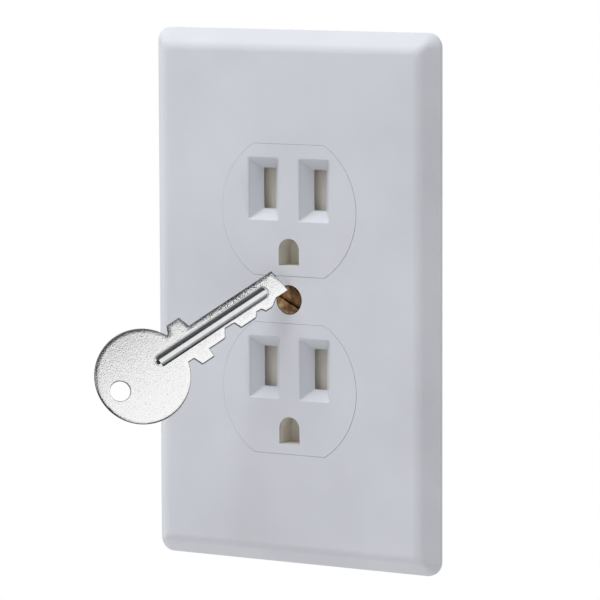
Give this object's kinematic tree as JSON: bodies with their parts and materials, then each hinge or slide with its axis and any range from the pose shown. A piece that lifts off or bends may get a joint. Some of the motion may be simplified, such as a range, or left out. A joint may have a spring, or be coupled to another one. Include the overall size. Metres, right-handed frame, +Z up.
{
  "type": "outlet diversion safe",
  "caption": "In-wall drawer safe whose front is a white duplex outlet cover plate, opened by turning its brass centre screw with a flat key.",
  "frame": {"origin": "the middle of the wall's surface behind the cover plate, on the lock's axis", "axes": "+Z up along the plate's long side, +Y into the wall, +X to the right as the plate is looked at"},
  "size_m": [0.071, 0.1201, 0.1164],
  "materials": {
    "white_plastic": "moulded ABS, satin white",
    "beige_plastic": "moulded ABS, matt beige",
    "sleeve_plastic": "moulded ABS, matt light grey",
    "brass": "turned brass, aged brown",
    "zinc_steel": "steel, zinc plated",
    "nickel_plate": "stamped steel, nickel plated, satin flats with a bright rib"
  },
  "bodies": {
    "wall_box": {"wall_sleeve": "sleeve_plastic"},
    "upper_clamp_screw": {"clamp_screw_upper": "zinc_steel"},
    "upper_clamp_wing": {"clamp_wing_upper": "zinc_steel"},
    "lower_clamp_screw": {"clamp_screw_lower": "zinc_steel"},
    "lower_clamp_wing": {"clamp_wing_lower": "zinc_steel"},
    "drawer": {"faceplate": "white_plastic", "outlet_face_upper": "white_plastic", "outlet_face_lower": "white_plastic", "outlet_backing_upper": "beige_plastic", "outlet_backing_lower": "beige_plastic", "drawer_tray": "beige_plastic", "tray_screw_1": "zinc_steel", "tray_screw_2": "zinc_steel", "tray_screw_3": "zinc_steel", "tray_screw_4": "zinc_steel", "lock_bushing": "brass", "bushing_nut": "brass"},
    "lock": {"lock_spindle": "brass", "spring_washer": "zinc_steel", "lock_cam": "zinc_steel", "cam_nut": "brass"},
    "held_key": {"key": "nickel_plate"}
  },
  "joints": [
    {"name": "drawer_slide", "type": "slide", "parent": "wall_box", "child": "drawer", "axis": [0, -1, 0], "range_m": [0, 0.0675]},
    {"name": "lock_turn", "type": "hinge", "parent": "drawer", "child": "lock", "pos_m": [0, -0.0043, 0], "axis": [0, 1, 0], "range_deg": [0, 90]},
    {"name": "key_pull", "type": "slide", "parent": "lock", "child": "held_key", "axis": [-0.5396, -0.6743, -0.5041], "range_m": [0, 0.03]},
    {"name": "upper_clamp_turn", "type": "hinge", "parent": "wall_box", "child": "upper_clamp_screw", "pos_m": [0, 0.02, 0.0466], "axis": [0, 1, 0], "range_deg": [-90, 0]},
    {"name": "upper_wing_travel", "type": "slide", "parent": "upper_clamp_screw", "child": "upper_clamp_wing", "axis": [0, 1, 0], "range_m": [-0.0065, 0.012]},
    {"name": "lower_clamp_turn", "type": "hinge", "parent": "wall_box", "child": "lower_clamp_screw", "pos_m": [0, 0.02, -0.0466], "axis": [0, 1, 0], "range_deg": [-90, 0]},
    {"name": "lower_wing_travel", "type": "slide", "parent": "lower_clamp_screw", "child": "lower_clamp_wing", "axis": [0, 1, 0], "range_m": [-0.0065, 0.012]}
  ]
}
